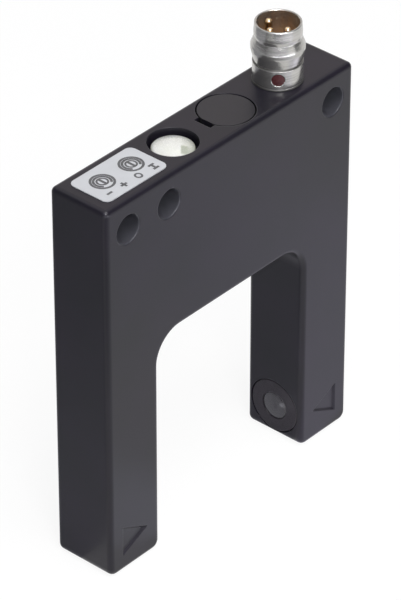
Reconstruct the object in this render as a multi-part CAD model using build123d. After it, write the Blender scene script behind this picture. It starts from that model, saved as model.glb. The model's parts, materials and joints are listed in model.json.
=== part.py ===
from build123d import *
import math
import os

# Fork sensor: a U-shaped light barrier. A beam crosses the gap between its two legs.
# The origin lies on the floor under the middle of the part. +X runs along the bridge towards
# the plug connector, +Z points up from the leg tips, and the open rear side faces +Y.

# Housing outline
FORK_GAP = 30.0
FORK_DEPTH = 35.0
LEG_W = 10.0
BRIDGE_H = 25.0
HOUSING_T = 10.0
ROOF_CORNER_R = 4.5
TIP_CORNER_R = 1.3
EDGE_R = 0.8

# Housing walls and the milled pocket behind the rear cover
SIDE_WALL = 1.8
FRONT_WALL = 1.2
TOP_BLOCK_H = 8.4
POCKET_CORNER_R = 0.6

# Rear cover, bonded flush into its rebate
COVER_LIP = 1.0
COVER_T = 1.0
COVER_BOND_T = 0.15
COVER_GAP = 0.1

# Mounting holes through the top block
HOLE_D = 4.3
HOLE_INSET_X = 4.3
HOLE_INSET_Z = 4.5
HOLE_PITCH = 8.0
HOLE_CHAMFER = 0.15

# Beam arrows engraved in the front face, with walls that slope at 45 degrees
ARROW_L = 5.0
ARROW_W = 4.8
ARROW_DEPTH = 0.3

# Label on the top face
LABEL_L = 12.0
LABEL_W = 7.0
LABEL_T = 0.12
LABEL_INSET = 2.0
LABEL_CORNER_R = 1.0

# Indicator: a domed light guide in a round recess
INDICATOR_PITCH = 6.35
RECESS_D = 7.1
RECESS_DEPTH = 2.8
DOME_D = 6.0
DOME_RIM_DROP = 0.85
DOME_RISE = 0.75
DOME_EDGE_ROUND = 0.25
GUIDE_D = 3.6
LED_GAP = 0.2
LED_L = 2.8
LED_W = 1.6
LED_H = 1.2
LED_LENS_R = 0.5

# Adjuster well, its cap and the slot for prying the cap out
CAP_LAND = 0.06
CAP_FIT = 0.2
CAP_CHAMFER = 0.05
CAP_H = 3.0
CAP_TOP_T = 1.1
CAP_SKIRT_T = 0.9
WELL_D = 7.2
PRY_L = 2.9
PRY_W = 1.0
PRY_BITE = 0.35
PRY_DEPTH = 0.9
O_RING_D = 0.45
O_RING_FIT = 0.03
O_RING_LIFT = 0.9

# Plug connector. From the housing up it has a foot, a band, a groove, a cone that widens to the
# snap ring, the ring's shoulder, and a barrel that swells to a land and tapers to the rim.
CONNECTOR_PITCH = 5.8
CONNECTOR_H = 9.0
BARREL_R = 3.35
RIM_TAPER = 0.09
RIM_WALL = 0.31
RIM_CHAMFER = 0.08
BARREL_LAND_H = 0.5
NECK_TAPER = 0.11
NECK_H = 0.5
SHOULDER_RISE = 0.08
SHOULDER_NECK_H = 0.4
SHOULDER_H = 0.8
SNAP_RING_RISE = 0.4
SNAP_RING_H = 0.65
SNAP_RING_ROUND = 0.22
CONE_H = 1.7
GROOVE_DROP = 0.09
GROOVE_H = 0.2
BAND_RISE = 0.14
BAND_CHAMFER = 0.03
BAND_H = 3.05
FOOT_RISE = 0.08
FOOT_H = 0.15
SHAFT_R = 3.1
SHAFT_L = 7.4
SHAFT_CHAMFER = 0.15
SHAFT_FIT = 0.03
SHAFT_SEAL_DROP = 1.4
CORE_R = 2.38
CORE_STEP_Z = 0.8
INSERT_TOP_Z = 4.3
INSERT_FIT = 0.03
INSERT_TAIL = 0.5
PIN_R = 0.5
PIN_CIRCLE_R = 1.7
PIN_RIM_DROP = 0.3
PIN_FIT = 0.03
PIN_TAIL_R = 0.3
PIN_ANGLES = {"1": 90.0, "3": 180.0, "4": 270.0}
DOT_ANGLE = 221.5
DOT_Z = 1.75
DOT_R = 0.9
DOT_DEPTH = 0.12
DOT_FIT = 0.03

# Optics, the same in both legs: bezel, seal, lens, diode and its holder
BEZEL_MARGIN = 0.75
BEZEL_RIM_ROUND = 0.25
BEZEL_SINK = 0.05
BEZEL_FLANGE_T = 0.5
BEZEL_SEAL_T = 0.2
BEZEL_SPIGOT_R = 2.95
BEZEL_SPIGOT_REACH = 0.2
BEZEL_FIT = 0.05
LENS_R = 2.13
LENS_T = 0.95
LENS_RISE = 0.12
LENS_SINK = 0.08
LENS_FIT = 0.05
APERTURE_R = 1.6
DIODE_R = 1.5
DIODE_L = 3.0
DIODE_FLANGE_R = 1.75
DIODE_FLANGE_T = 0.5
DIODE_FIT = 0.05
DIODE_TIP_GAP = 0.2
HOLDER_W = 4.8
HOLDER_H = 4.6
HOLDER_L = 2.7
LEAD_R = 0.2
LEAD_PITCH = 1.8
LEAD_RUN = 0.5

# Circuit boards and what they carry
BOARD_T = 0.8
BOARD_STANDOFF = 0.6
BOARD_GAP = 0.4
POST_R = 1.6
BOARD_SCREW_R = 0.8
BOARD_SCREW_FIT = 0.03
BOARD_SCREW_HEAD_R = 1.4
BOARD_SCREW_HEAD_T = 0.8
BOARD_SCREW_BITE = 0.5
BOARD_SCREW_DROP = 4.0
DRIVER_SLOT_W = 0.4
DRIVER_SLOT_DEPTH = 0.3
CONTROL_BOARD_L = 8.4
CONTROL_BOARD_W = 5.0
CONTROL_BOARD_DROP = 2.8
CONNECTOR_BOARD_R = 3.0
CONNECTOR_BOARD_DROP = 1.2
TRIMMER_W = 3.0
TRIMMER_H = 1.6
TRIMMER_PITCH = 3.4
ROTOR_R = 1.1
ROTOR_H = 0.6
ROTOR_GAP = 0.05
ROTOR_PIVOT_R = 0.6
ROTOR_PIVOT_L = 0.9
CONTROLLER_W = 5.0
CONTROLLER_T = 0.9
DRIVER_CHIP_L = 3.0
DRIVER_CHIP_W = 1.7
DRIVER_CHIP_T = 1.1
CAPACITOR_L = 2.0
CAPACITOR_W = 1.25
CAPACITOR_T = 1.0
CAPACITOR_PITCH = 2.2
CAPACITOR_COUNT = 3
PART_SPACE = 3.0

# How far a cutter reaches past what it cuts, and how near two places count as one
OVERCUT = 1.0
NEAR = 0.001

# Places that follow from the sizes above
HOUSING_W = FORK_GAP + 2 * LEG_W
HOUSING_H = FORK_DEPTH + BRIDGE_H
FRONT_Y = -HOUSING_T / 2
REAR_Y = HOUSING_T / 2
END_X = HOUSING_W / 2
GAP_X = FORK_GAP / 2
POCKET_FLOOR_Y = FRONT_Y + FRONT_WALL
LEDGE_Y = REAR_Y - COVER_T - COVER_BOND_T
POCKET_TOP_Z = HOUSING_H - TOP_BLOCK_H
REBATE_TOP_Z = POCKET_TOP_Z + SIDE_WALL - COVER_LIP
HOLE_Z = HOUSING_H - HOLE_INSET_Z
HOLE_X = [
    -END_X + HOLE_INSET_X,
    -END_X + HOLE_INSET_X + HOLE_PITCH,
    END_X - HOLE_INSET_X,
]
INDICATOR_X = HOLE_X[1] + INDICATOR_PITCH
CONNECTOR_X = HOLE_X[2] - CONNECTOR_PITCH
ADJUSTER_X = (INDICATOR_X + CONNECTOR_X) / 2
CAP_BORE_R = HOUSING_T / 2 - EDGE_R - CAP_LAND
CAP_R = CAP_BORE_R - CAP_FIT
CAP_SEAT_Z = HOUSING_H - CAP_H
O_RING_Z = CAP_SEAT_Z + O_RING_LIFT
RIM_R = BARREL_R - RIM_TAPER
SOCKET_R = RIM_R - RIM_WALL
NECK_R = BARREL_R - NECK_TAPER
SHOULDER_R = BARREL_R + SHOULDER_RISE
SNAP_RING_R = BARREL_R + SNAP_RING_RISE
GROOVE_R = BARREL_R - GROOVE_DROP
BAND_R = BARREL_R + BAND_RISE
FOOT_R = BAND_R + FOOT_RISE
BEZEL_R = HOUSING_T / 2 - BEZEL_MARGIN
BEZEL_BORE_R = BEZEL_R + BEZEL_FIT
BEZEL_SEAT = BEZEL_SINK + BEZEL_FLANGE_T + BEZEL_SEAL_T
SPIGOT_BORE_R = BEZEL_SPIGOT_R + BEZEL_FIT
SPIGOT_END = SIDE_WALL + BEZEL_SPIGOT_REACH
OPTIC_Z = HOUSING_T / 2
BOARD_BACK_Y = POCKET_FLOOR_Y + BOARD_STANDOFF
BOARD_FACE_Y = BOARD_BACK_Y + BOARD_T
BOARD_TOP_Z = POCKET_TOP_Z - BOARD_GAP
BOARD_INSET = SIDE_WALL + BOARD_GAP
BOARD_SCREW_X = GAP_X + LEG_W / 2
BOARD_SCREW_Z = BOARD_TOP_Z - BOARD_SCREW_DROP
CONTROL_BOARD_Z = BOARD_TOP_Z - CONTROL_BOARD_DROP
CONNECTOR_BOARD_Z = BOARD_TOP_Z - CONNECTOR_BOARD_DROP
PART_ROW_Z = CONTROL_BOARD_Z - BOARD_T - PART_SPACE - CONTROLLER_W / 2
TRIMMER_X = {
    "sensitivity": ADJUSTER_X - TRIMMER_PITCH / 2,
    "mode": ADJUSTER_X + TRIMMER_PITCH / 2,
}

ON_BASE = (Align.CENTER, Align.CENTER, Align.MIN)


def slab(outline, y_from, y_to):
    """A flat piece cut from an XZ outline, between two Y planes."""
    return Pos(0, y_to, 0) * extrude(Plane.XZ * outline, y_to - y_from)


def upright(x, y, r, z_from, z_to):
    """A cylinder standing between two heights."""
    return Pos(x, y, z_from) * Cylinder(r, z_to - z_from, align=ON_BASE)


def along_y(x, z, r, y_from, y_to):
    """A cylinder lying along Y."""
    return Pos(x, y_from, z) * Rot(-90, 0, 0) * Cylinder(r, y_to - y_from, align=ON_BASE)


def block(x_from, x_to, y_from, y_to, z_from, z_to):
    """A box between two corners."""
    box = Box(x_to - x_from, y_to - y_from, z_to - z_from, align=(Align.MIN,) * 3)
    return Pos(x_from, y_from, z_from) * box


def turned(x, y, z, points):
    """A body turned about an upright axis, from a closed (radius, height) profile."""
    profile = Plane.XZ * make_face(Polyline(*points, close=True))
    return Pos(x, y, z) * revolve(profile, Axis.Z)


def optic_axis(side):
    """The beam axis of one leg: local Z starts at the gap face and runs into the leg."""
    return Plane(origin=(side * GAP_X, 0, OPTIC_Z), x_dir=(0, 0, 1), z_dir=(side, 0, 0))


def on_axis(side, r, u_from, u_to):
    """A cylinder on the beam axis, from one depth in the leg to another."""
    return optic_axis(side) * Pos(0, 0, u_from) * Cylinder(r, u_to - u_from, align=ON_BASE)


def fork_outline(inset, top_z, tip_r, top_r):
    """The U outline moved inwards on every side, with its upper edge at a given height."""
    body = Pos(0, (inset + top_z) / 2) * Rectangle(2 * (END_X - inset), top_z - inset)
    gap = Rectangle(2 * (GAP_X + inset), 2 * (FORK_DEPTH + inset))
    gap = fillet(gap.vertices(), ROOF_CORNER_R + inset)
    outline = body - gap
    middle = FORK_DEPTH / 2
    if tip_r > 0:
        tips = [v for v in outline.vertices() if v.Y < middle and abs(v.Y - inset) < NEAR]
        outline = fillet(tips, tip_r)
    if top_r > 0:
        tops = [v for v in outline.vertices() if abs(v.Y - top_z) < NEAR]
        outline = fillet(tops, top_r)
    return outline


def pry_slot():
    """The slot cut across the edge of the cap and the top face."""
    edge_x = ADJUSTER_X - CAP_BORE_R
    slot = block(
        edge_x + PRY_BITE - PRY_W, edge_x + PRY_BITE,
        -PRY_L / 2, PRY_L / 2,
        HOUSING_H - PRY_DEPTH, HOUSING_H + OVERCUT,
    )
    return slot


def arrow_cutter(side):
    """A triangle that narrows evenly as it goes into the front face of one leg."""
    base_x = side * (GAP_X + LEG_W / 2 + ARROW_L / 2)
    tip_x = base_x - side * ARROW_L
    arrow = make_face(Polyline(
        (base_x, OPTIC_Z - ARROW_W / 2),
        (base_x, OPTIC_Z + ARROW_W / 2),
        (tip_x, OPTIC_Z),
        close=True,
    ))
    ends = []
    for depth in (-OVERCUT, ARROW_DEPTH):
        section = offset(arrow, amount=-depth, kind=Kind.INTERSECTION)
        ends.append(Pos(0, FRONT_Y + depth, 0) * (Plane.XZ * section))
    return loft(ends, ruled=True)


def dot_plug(r, outer):
    """A radial plug through the connector's band, out to a given radius."""
    turn = math.radians(DOT_ANGLE)
    out = (math.cos(turn), math.sin(turn), 0)
    plane = Plane(origin=(CONNECTOR_X, 0, HOUSING_H + DOT_Z), x_dir=(0, 0, 1), z_dir=out)
    return plane * Pos(0, 0, SOCKET_R) * Cylinder(r, outer - SOCKET_R, align=ON_BASE)


# Housing
def housing():
    body = slab(fork_outline(0, HOUSING_H, TIP_CORNER_R, 0), FRONT_Y, REAR_Y)
    rims = [e for e in body.edges() if abs(abs(e.center().Y) - HOUSING_T / 2) < NEAR]
    shoulders = [
        e for e in body.edges()
        if abs(e.center().Y) < NEAR and abs(e.center().Z - HOUSING_H) < NEAR
    ]
    body = fillet(rims + shoulders, EDGE_R)

    # Rear pocket, the rebate for the cover, and the posts for the main board
    pocket = fork_outline(SIDE_WALL, POCKET_TOP_Z, POCKET_CORNER_R, POCKET_CORNER_R)
    rebate = fork_outline(COVER_LIP, REBATE_TOP_Z, POCKET_CORNER_R, POCKET_CORNER_R)
    body -= slab(pocket, POCKET_FLOOR_Y, REAR_Y)
    body -= slab(rebate, LEDGE_Y, REAR_Y + OVERCUT)
    for side in (-1, 1):
        x = side * BOARD_SCREW_X
        body += along_y(x, BOARD_SCREW_Z, POST_R, POCKET_FLOOR_Y, BOARD_BACK_Y)
        body -= along_y(
            x, BOARD_SCREW_Z, BOARD_SCREW_R + BOARD_SCREW_FIT,
            BOARD_BACK_Y - BOARD_STANDOFF - BOARD_SCREW_BITE, BOARD_BACK_Y,
        )

    # Bores from the top: indicator, adjusters and connector
    body -= upright(INDICATOR_X, 0, RECESS_D / 2, HOUSING_H - RECESS_DEPTH, HOUSING_H + OVERCUT)
    body -= upright(INDICATOR_X, 0, GUIDE_D / 2 + SHAFT_FIT, POCKET_TOP_Z - OVERCUT, HOUSING_H)
    body -= upright(ADJUSTER_X, 0, CAP_BORE_R, CAP_SEAT_Z, HOUSING_H + OVERCUT)
    body -= upright(ADJUSTER_X, 0, WELL_D / 2, POCKET_TOP_Z - OVERCUT, HOUSING_H)
    body -= pry_slot()
    body -= upright(CONNECTOR_X, 0, SHAFT_R + SHAFT_FIT, POCKET_TOP_Z - OVERCUT, HOUSING_H + OVERCUT)

    # Stepped bores for the optics, opening into the gap
    for side in (-1, 1):
        body -= on_axis(side, BEZEL_BORE_R, -OVERCUT, BEZEL_SEAT)
        body -= on_axis(side, SPIGOT_BORE_R, -OVERCUT, SIDE_WALL + OVERCUT)

    # Mounting holes, chamfered at both faces
    for x in HOLE_X:
        body -= along_y(x, HOLE_Z, HOLE_D / 2, FRONT_Y - OVERCUT, REAR_Y + OVERCUT)
    mouths = [
        e for e in body.edges().filter_by(GeomType.CIRCLE)
        if abs(e.radius - HOLE_D / 2) < NEAR
        and abs(abs(e.center().Y) - HOUSING_T / 2) < NEAR
        and abs(e.center().Z - HOLE_Z) < NEAR
    ]
    body = chamfer(mouths, HOLE_CHAMFER)

    # Arrows that point from each leg into the gap, at the height of the beam
    for side in (-1, 1):
        body -= arrow_cutter(side)
    return body


# Rear cover and the adhesive film that seals it
def rear_cover():
    corner_r = POCKET_CORNER_R - COVER_GAP
    outline = fork_outline(COVER_LIP + COVER_GAP, REBATE_TOP_Z - COVER_GAP, corner_r, corner_r)
    return slab(outline, REAR_Y - COVER_T, REAR_Y)


def cover_bond():
    corner_r = POCKET_CORNER_R - COVER_GAP
    outer = fork_outline(COVER_LIP + COVER_GAP, REBATE_TOP_Z - COVER_GAP, corner_r, corner_r)
    inner = fork_outline(SIDE_WALL, POCKET_TOP_Z, POCKET_CORNER_R, POCKET_CORNER_R)
    return slab(outer - inner, LEDGE_Y, LEDGE_Y + COVER_BOND_T)


# Label
def label():
    shape = RectangleRounded(LABEL_L, LABEL_W, LABEL_CORNER_R)
    return Pos(-END_X + LABEL_INSET + LABEL_L / 2, 0, HOUSING_H) * extrude(shape, LABEL_T)


# Indicator: light guide with a domed head, and the lamp under it
def indicator_dome():
    seat = HOUSING_H - RECESS_DEPTH
    rim = HOUSING_H - DOME_RIM_DROP
    half = DOME_D / 2
    ball_r = (half ** 2 + DOME_RISE ** 2) / (2 * DOME_RISE)
    head = upright(0, 0, half, seat, rim + DOME_RISE)
    head &= Pos(0, 0, rim + DOME_RISE - ball_r) * Sphere(ball_r)
    edges = [
        e for e in head.edges().filter_by(GeomType.CIRCLE)
        if abs(e.radius - half) < NEAR and abs(e.center().Z - rim) < NEAR
    ]
    head = fillet(edges, DOME_EDGE_ROUND)
    guide = upright(0, 0, GUIDE_D / 2, POCKET_TOP_Z, seat)
    return Pos(INDICATOR_X, 0, 0) * (head + guide)


def indicator_lamp():
    top = POCKET_TOP_Z - LED_GAP - BOARD_GAP
    body = block(
        INDICATOR_X - LED_L / 2, INDICATOR_X + LED_L / 2,
        BOARD_FACE_Y, BOARD_FACE_Y + LED_W,
        top - LED_H, top,
    )
    lens = upright(INDICATOR_X, BOARD_FACE_Y + LED_W / 2, LED_LENS_R, top, top + LED_GAP)
    return body + lens


# Adjuster cap with its O-ring, and the two trimmers below it
def adjuster_cap():
    body = upright(0, 0, CAP_R, CAP_SEAT_Z, HOUSING_H)
    body = chamfer(body.edges().filter_by(GeomType.CIRCLE).sort_by(Axis.Z)[-1], CAP_CHAMFER)
    body -= upright(0, 0, CAP_R - CAP_SKIRT_T, CAP_SEAT_Z, HOUSING_H - CAP_TOP_T)
    groove_half = O_RING_D / 2 + O_RING_FIT
    groove = upright(0, 0, CAP_R + OVERCUT, O_RING_Z - groove_half, O_RING_Z + groove_half)
    groove -= upright(0, 0, CAP_BORE_R - O_RING_D - 2 * O_RING_FIT, CAP_SEAT_Z, HOUSING_H)
    body = Pos(ADJUSTER_X, 0, 0) * (body - groove)
    return body - pry_slot()


def cap_o_ring():
    middle_r = CAP_BORE_R - O_RING_FIT - O_RING_D / 2
    return Pos(ADJUSTER_X, 0, O_RING_Z) * Torus(middle_r, O_RING_D / 2)


def trimmer_body(name):
    x = TRIMMER_X[name]
    body = block(
        x - TRIMMER_W / 2, x + TRIMMER_W / 2,
        -TRIMMER_W / 2, TRIMMER_W / 2,
        CONTROL_BOARD_Z, CONTROL_BOARD_Z + TRIMMER_H,
    )
    top = CONTROL_BOARD_Z + TRIMMER_H
    return body - upright(x, 0, ROTOR_PIVOT_R + ROTOR_GAP, top - ROTOR_PIVOT_L - ROTOR_GAP, top)


def trimmer_rotor(name):
    x = TRIMMER_X[name]
    seat = CONTROL_BOARD_Z + TRIMMER_H + ROTOR_GAP
    rotor = upright(0, 0, ROTOR_R, seat, seat + ROTOR_H)
    rotor += upright(0, 0, ROTOR_PIVOT_R, seat - ROTOR_PIVOT_L, seat)
    slot_z = seat + ROTOR_H - DRIVER_SLOT_DEPTH
    half = DRIVER_SLOT_W / 2
    rotor -= block(-ROTOR_R, ROTOR_R, -half, half, slot_z, seat + ROTOR_H)
    rotor -= block(-half, half, -ROTOR_R / 2, ROTOR_R / 2, slot_z, seat + ROTOR_H)
    return Pos(x, 0, 0) * rotor


# Plug connector: shell, seal, insert, pins and the red orientation dot
def connector_shell():
    cone_z = BAND_H + GROOVE_H
    ring_z = cone_z + CONE_H
    shoulder_z = ring_z + SNAP_RING_H + SHOULDER_H
    neck_z = shoulder_z + SHOULDER_NECK_H
    land_z = neck_z + NECK_H
    groove_r = SHAFT_R + SHAFT_FIT - O_RING_D - 2 * O_RING_FIT
    groove_half = O_RING_D / 2 + O_RING_FIT
    points = [
        (SOCKET_R, CORE_STEP_Z),
        (CORE_R, CORE_STEP_Z),
        (CORE_R, -SHAFT_L),
        (SHAFT_R - SHAFT_CHAMFER, -SHAFT_L),
        (SHAFT_R, -SHAFT_L + SHAFT_CHAMFER),
        (SHAFT_R, -SHAFT_SEAL_DROP - groove_half),
        (groove_r, -SHAFT_SEAL_DROP - groove_half),
        (groove_r, -SHAFT_SEAL_DROP + groove_half),
        (SHAFT_R, -SHAFT_SEAL_DROP + groove_half),
        (SHAFT_R, 0),
        (FOOT_R, 0),
        (FOOT_R, FOOT_H),
        (BAND_R, FOOT_H + FOOT_RISE),
        (BAND_R, BAND_H - BAND_CHAMFER),
        (BAND_R - BAND_CHAMFER, BAND_H),
        (GROOVE_R, BAND_H),
        (GROOVE_R, cone_z),
        (BARREL_R, cone_z),
        (SNAP_RING_R, ring_z),
        (SNAP_RING_R, ring_z + SNAP_RING_H),
        (SHOULDER_R, shoulder_z),
        (NECK_R, neck_z),
        (BARREL_R, land_z),
        (BARREL_R, land_z + BARREL_LAND_H),
        (RIM_R, CONNECTOR_H - RIM_CHAMFER),
        (RIM_R - RIM_CHAMFER, CONNECTOR_H),
        (SOCKET_R + RIM_CHAMFER, CONNECTOR_H),
        (SOCKET_R, CONNECTOR_H - RIM_CHAMFER),
    ]
    shell = turned(CONNECTOR_X, 0, HOUSING_H, points)
    ring_rims = [
        e for e in shell.edges().filter_by(GeomType.CIRCLE)
        if abs(e.radius - SNAP_RING_R) < NEAR
    ]
    shell = fillet(ring_rims, SNAP_RING_ROUND)
    core = upright(CONNECTOR_X, 0, BAND_R - DOT_DEPTH, HOUSING_H, HOUSING_H + BAND_H)
    return shell - (dot_plug(DOT_R + DOT_FIT, BAND_R + OVERCUT) - core)


def connector_o_ring():
    middle_r = SHAFT_R + SHAFT_FIT - O_RING_FIT - O_RING_D / 2
    return Pos(CONNECTOR_X, 0, HOUSING_H - SHAFT_SEAL_DROP) * Torus(middle_r, O_RING_D / 2)


def orientation_dot():
    sleeve = upright(CONNECTOR_X, 0, BAND_R, HOUSING_H, HOUSING_H + BAND_H)
    core = upright(CONNECTOR_X, 0, BAND_R - DOT_DEPTH, HOUSING_H, HOUSING_H + BAND_H)
    return dot_plug(DOT_R, BAND_R + OVERCUT) & (sleeve - core)


def connector_insert():
    bottom = HOUSING_H - SHAFT_L + INSERT_TAIL
    step = HOUSING_H + CORE_STEP_Z
    top = HOUSING_H + INSERT_TOP_Z
    body = upright(CONNECTOR_X, 0, SOCKET_R - INSERT_FIT, step, top)
    body += upright(CONNECTOR_X, 0, CORE_R - INSERT_FIT, bottom, step)
    for angle in PIN_ANGLES.values():
        x, y = pin_place(angle)
        body -= upright(x, y, PIN_R + PIN_FIT, step, top)
        body -= upright(x, y, PIN_TAIL_R + PIN_FIT, bottom, step)
    return body


def pin_place(angle):
    turn = math.radians(angle)
    return CONNECTOR_X + PIN_CIRCLE_R * math.cos(turn), PIN_CIRCLE_R * math.sin(turn)


def contact_pin(angle):
    x, y = pin_place(angle)
    shoulder = HOUSING_H + CORE_STEP_Z
    top = HOUSING_H + CONNECTOR_H - PIN_RIM_DROP
    pin = upright(x, y, PIN_R, shoulder, top - PIN_R)
    pin += Pos(x, y, top - PIN_R) * Sphere(PIN_R)
    pin += upright(x, y, PIN_TAIL_R, CONNECTOR_BOARD_Z - BOARD_T - BOARD_GAP, shoulder)
    return pin


def connector_board():
    top = CONNECTOR_BOARD_Z
    board = upright(CONNECTOR_X, 0, CONNECTOR_BOARD_R, top - BOARD_T, top)
    board &= block(
        CONNECTOR_X - CONNECTOR_BOARD_R, CONNECTOR_X + CONNECTOR_BOARD_R,
        BOARD_FACE_Y, CONNECTOR_BOARD_R,
        top - BOARD_T, top,
    )
    for angle in PIN_ANGLES.values():
        x, y = pin_place(angle)
        board -= upright(x, y, PIN_TAIL_R + PIN_FIT, top - BOARD_T, top)
    return board


# Optics in each leg
def bezel(side):
    flange_end = BEZEL_SINK + BEZEL_FLANGE_T
    body = on_axis(side, BEZEL_R, BEZEL_SINK, flange_end)
    rim = min(body.edges().filter_by(GeomType.CIRCLE), key=lambda e: abs(e.center().X))
    body = fillet(rim, BEZEL_RIM_ROUND)
    body += on_axis(side, BEZEL_SPIGOT_R, flange_end, SPIGOT_END)
    body -= on_axis(side, LENS_R + LENS_FIT, BEZEL_SINK, BEZEL_SINK + LENS_SINK + LENS_T)
    return body - on_axis(side, APERTURE_R, BEZEL_SINK, SPIGOT_END)


def bezel_seal(side):
    start = BEZEL_SINK + BEZEL_FLANGE_T
    ring = on_axis(side, BEZEL_R, start, start + BEZEL_SEAL_T)
    return ring - on_axis(side, SPIGOT_BORE_R, start, start + BEZEL_SEAL_T)


def lens(side):
    rim = BEZEL_SINK + LENS_SINK
    ball_r = (LENS_R ** 2 + LENS_RISE ** 2) / (2 * LENS_RISE)
    body = on_axis(side, LENS_R, rim - LENS_RISE, rim + LENS_T)
    return body & (optic_axis(side) * Pos(0, 0, rim - LENS_RISE + ball_r) * Sphere(ball_r))


def diode(side):
    tip = SPIGOT_END + DIODE_TIP_GAP
    seat = tip + DIODE_L
    body = on_axis(side, DIODE_R, tip + DIODE_R, seat)
    body += optic_axis(side) * Pos(0, 0, tip + DIODE_R) * Sphere(DIODE_R)
    body += on_axis(side, DIODE_FLANGE_R, seat, seat + DIODE_FLANGE_T)
    bend = seat + DIODE_FLANGE_T + LEAD_RUN
    for lead in (-1, 1):
        z = lead * LEAD_PITCH / 2
        run = Pos(0, 0, z) * on_axis(side, LEAD_R, seat, bend)
        drop = along_y(side * (GAP_X + bend), OPTIC_Z + z, LEAD_R, BOARD_FACE_Y, 0)
        elbow = Pos(side * (GAP_X + bend), 0, OPTIC_Z + z) * Sphere(LEAD_R)
        body += run + elbow + drop
    return body


def diode_holder(side):
    start = SPIGOT_END + DIODE_TIP_GAP + DIODE_L - HOLDER_L
    near = side * (GAP_X + start)
    far = side * (GAP_X + start + HOLDER_L)
    body = block(
        min(near, far), max(near, far),
        BOARD_FACE_Y, HOLDER_W / 2,
        OPTIC_Z - HOLDER_H / 2, OPTIC_Z + HOLDER_H / 2,
    )
    return body - on_axis(side, DIODE_R + DIODE_FIT, start, start + HOLDER_L)


# Circuit boards, their screws and the larger components
def main_board():
    outline = fork_outline(BOARD_INSET, BOARD_TOP_Z, 0, 0)
    board = slab(outline, BOARD_BACK_Y, BOARD_FACE_Y)
    for side in (-1, 1):
        x = side * BOARD_SCREW_X
        board -= along_y(x, BOARD_SCREW_Z, BOARD_SCREW_R + BOARD_SCREW_FIT, BOARD_BACK_Y, BOARD_FACE_Y)
    return board


def board_screws():
    screws = []
    for side in (-1, 1):
        x = side * BOARD_SCREW_X
        head_y = BOARD_FACE_Y + BOARD_SCREW_HEAD_T
        screw = along_y(x, BOARD_SCREW_Z, BOARD_SCREW_R, POCKET_FLOOR_Y - BOARD_SCREW_BITE, BOARD_FACE_Y)
        screw += along_y(x, BOARD_SCREW_Z, BOARD_SCREW_HEAD_R, BOARD_FACE_Y, head_y)
        screw -= block(
            x - BOARD_SCREW_HEAD_R, x + BOARD_SCREW_HEAD_R,
            head_y - DRIVER_SLOT_DEPTH, head_y,
            BOARD_SCREW_Z - DRIVER_SLOT_W / 2, BOARD_SCREW_Z + DRIVER_SLOT_W / 2,
        )
        screws.append(screw)
    return Compound(children=screws)


def control_board():
    return block(
        ADJUSTER_X - CONTROL_BOARD_L / 2, ADJUSTER_X + CONTROL_BOARD_L / 2,
        BOARD_FACE_Y, BOARD_FACE_Y + CONTROL_BOARD_W,
        CONTROL_BOARD_Z - BOARD_T, CONTROL_BOARD_Z,
    )


def on_board(x, z, length, width, height):
    """A component that lies on the main board, round a centre."""
    return block(
        x - length / 2, x + length / 2,
        BOARD_FACE_Y, BOARD_FACE_Y + height,
        z - width / 2, z + width / 2,
    )


def controller_chip():
    return on_board(INDICATOR_X, PART_ROW_Z, CONTROLLER_W, CONTROLLER_W, CONTROLLER_T)


def driver_chip():
    return on_board(CONNECTOR_X, PART_ROW_Z, DRIVER_CHIP_L, DRIVER_CHIP_W, DRIVER_CHIP_T)


def ceramic_capacitors():
    first = ADJUSTER_X - CAPACITOR_PITCH * (CAPACITOR_COUNT - 1) / 2
    row = []
    for i in range(CAPACITOR_COUNT):
        x = first + i * CAPACITOR_PITCH
        row.append(on_board(x, PART_ROW_Z, CAPACITOR_W, CAPACITOR_L, CAPACITOR_T))
    return Compound(children=row)


PARTS = {
    "housing": housing(),
    "rear_cover": rear_cover(),
    "cover_bond": cover_bond(),
    "label": label(),
    "indicator_dome": indicator_dome(),
    "indicator_lamp": indicator_lamp(),
    "adjuster_cap": adjuster_cap(),
    "cap_o_ring": cap_o_ring(),
    "connector_shell": connector_shell(),
    "connector_o_ring": connector_o_ring(),
    "connector_insert": connector_insert(),
    "orientation_dot": orientation_dot(),
    "connector_board": connector_board(),
    "main_board": main_board(),
    "board_screws": board_screws(),
    "control_board": control_board(),
    "controller_chip": controller_chip(),
    "driver_chip": driver_chip(),
    "ceramic_capacitors": ceramic_capacitors(),
}
for name in TRIMMER_X:
    PARTS[name + "_trimmer_body"] = trimmer_body(name)
    PARTS[name + "_trimmer_rotor"] = trimmer_rotor(name)
for number, angle in PIN_ANGLES.items():
    PARTS["contact_pin_" + number] = contact_pin(angle)
for name, side in (("emitter", -1), ("receiver", 1)):
    PARTS[name + "_bezel"] = bezel(side)
    PARTS[name + "_bezel_seal"] = bezel_seal(side)
    PARTS[name + "_lens"] = lens(side)
    PARTS[name + "_diode"] = diode(side)
    PARTS[name + "_diode_holder"] = diode_holder(side)

os.makedirs("parts", exist_ok=True)
for name, shape in PARTS.items():
    export_step(shape, "parts/" + name + ".step")
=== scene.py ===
# Looks for the fork sensor: its finishes, the print on its label, and the studio that it stands in.

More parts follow.
